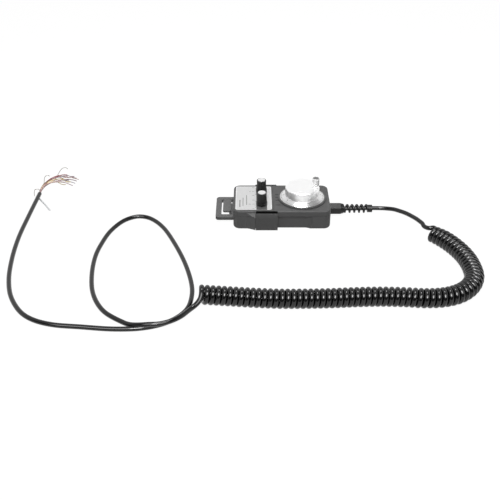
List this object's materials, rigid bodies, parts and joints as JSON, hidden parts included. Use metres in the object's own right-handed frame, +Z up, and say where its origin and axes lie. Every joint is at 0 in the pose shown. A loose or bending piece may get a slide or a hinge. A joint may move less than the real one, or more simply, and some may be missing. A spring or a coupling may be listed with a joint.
{
  "type": "pulse generator handwheel",
  "caption": "Hand-held control pendant for a machine tool: graduated hand wheel with finger grip, rotary selectors, side enable buttons, hanging loop and curly cable with bare cores.",
  "frame": {"origin": "bottom centre of the box formed by the case and its hanger, on the case's back", "axes": "+X along the case towards the cable, +Y across the case towards the right-hand button, +Z up out of the panel"},
  "size_m": [0.5956, 0.3965, 0.058],
  "materials": {
    "case_plastic": "moulded, fine even grain",
    "hanger_plastic": "moulded, fine even grain",
    "button_plastic": "moulded, fine even grain",
    "label_aluminium": "anodised, fine satin",
    "bezel_plastic": "moulded, smooth",
    "dial_chrome": "turned and polished",
    "knob_aluminium": "turned, satin anodised",
    "grip_metal": "turned, fine knurl",
    "pin_steel": "blackened",
    "knob_plastic": "moulded, fluted",
    "cap_plastic": "moulded, smooth",
    "gland_nylon": "moulded, smooth",
    "rubber_seal": "moulded",
    "cable_jacket": "extruded, glossy",
    "core_insulation": "extruded, one colour on each core",
    "shield_tape": "foil and tinned drain wire",
    "encoder_plastic": "moulded",
    "switch_plastic": "moulded",
    "terminal_plastic": "moulded",
    "circuit_board": "glass fibre laminate with green lacquer",
    "code_disc": "etched",
    "bearing_steel": "ground",
    "shaft_steel": "ground",
    "screw_steel": "zinc plated"
  },
  "bodies": {
    "housing": {"rear_shell": "case_plastic", "shell_gasket": "rubber_seal", "front_shell": "case_plastic", "case_screws": "screw_steel", "label_plate": "label_aluminium", "hanger_loop": "hanger_plastic", "hanger_screws": "screw_steel", "gland_body": "gland_nylon", "gland_locknut": "gland_nylon", "gland_seal": "rubber_seal", "gland_nut": "gland_nylon", "bezel_ring": "bezel_plastic", "encoder_housing": "encoder_plastic", "encoder_cover": "encoder_plastic", "encoder_screws": "screw_steel", "upper_bearing": "bearing_steel", "lower_bearing": "bearing_steel", "encoder_board": "circuit_board", "encoder_reader": "switch_plastic", "axis_switch": "switch_plastic", "axis_switch_nut": "screw_steel", "range_switch": "switch_plastic", "range_switch_nut": "screw_steel", "left_microswitch": "switch_plastic", "right_microswitch": "switch_plastic", "main_board": "circuit_board", "board_screws": "screw_steel", "terminal_block": "terminal_plastic", "lead_in_cable": "cable_jacket", "curly_cable": "cable_jacket", "cable_tail": "cable_jacket", "core_wires": "core_insulation", "shield_wires": "shield_tape"},
    "wheel": {"wheel_shaft": "shaft_steel", "encoder_disc": "code_disc", "graduated_dial": "dial_chrome", "dial_screws": "screw_steel", "knob_wheel": "knob_aluminium", "knob_set_screw": "screw_steel", "grip_pin": "pin_steel"},
    "grip": {"finger_grip": "grip_metal"},
    "axis_selector": {"axis_shaft": "shaft_steel", "axis_knob": "knob_plastic", "axis_knob_cap": "cap_plastic"},
    "range_selector": {"range_shaft": "shaft_steel", "range_knob": "knob_plastic", "range_knob_cap": "cap_plastic"},
    "left_enable": {"left_button": "button_plastic"},
    "right_enable": {"right_button": "button_plastic"}
  },
  "joints": [
    {"name": "wheel_spin", "type": "hinge", "parent": "housing", "child": "wheel", "pos_m": [0.04, 0, 0.04], "axis": [0, 0, 1], "continuous": true},
    {"name": "grip_spin", "type": "hinge", "parent": "wheel", "child": "grip", "pos_m": [0.0576, 0, 0.05], "axis": [0, 0, 1], "continuous": true},
    {"name": "axis_turn", "type": "hinge", "parent": "housing", "child": "axis_selector", "pos_m": [-0.015, -0.0175, 0.03], "axis": [0, 0, 1], "range_deg": [-180, 0]},
    {"name": "range_turn", "type": "hinge", "parent": "housing", "child": "range_selector", "pos_m": [-0.015, 0.0175, 0.03], "axis": [0, 0, 1], "range_deg": [-90, 0]},
    {"name": "left_press", "type": "slide", "parent": "housing", "child": "left_enable", "axis": [0, 1, 0], "range_m": [0, 0.0022], "stiffness_N_per_m": 400, "springref_m": -0.002},
    {"name": "right_press", "type": "slide", "parent": "housing", "child": "right_enable", "axis": [0, -1, 0], "range_m": [0, 0.0022], "stiffness_N_per_m": 400, "springref_m": -0.002}
  ]
}
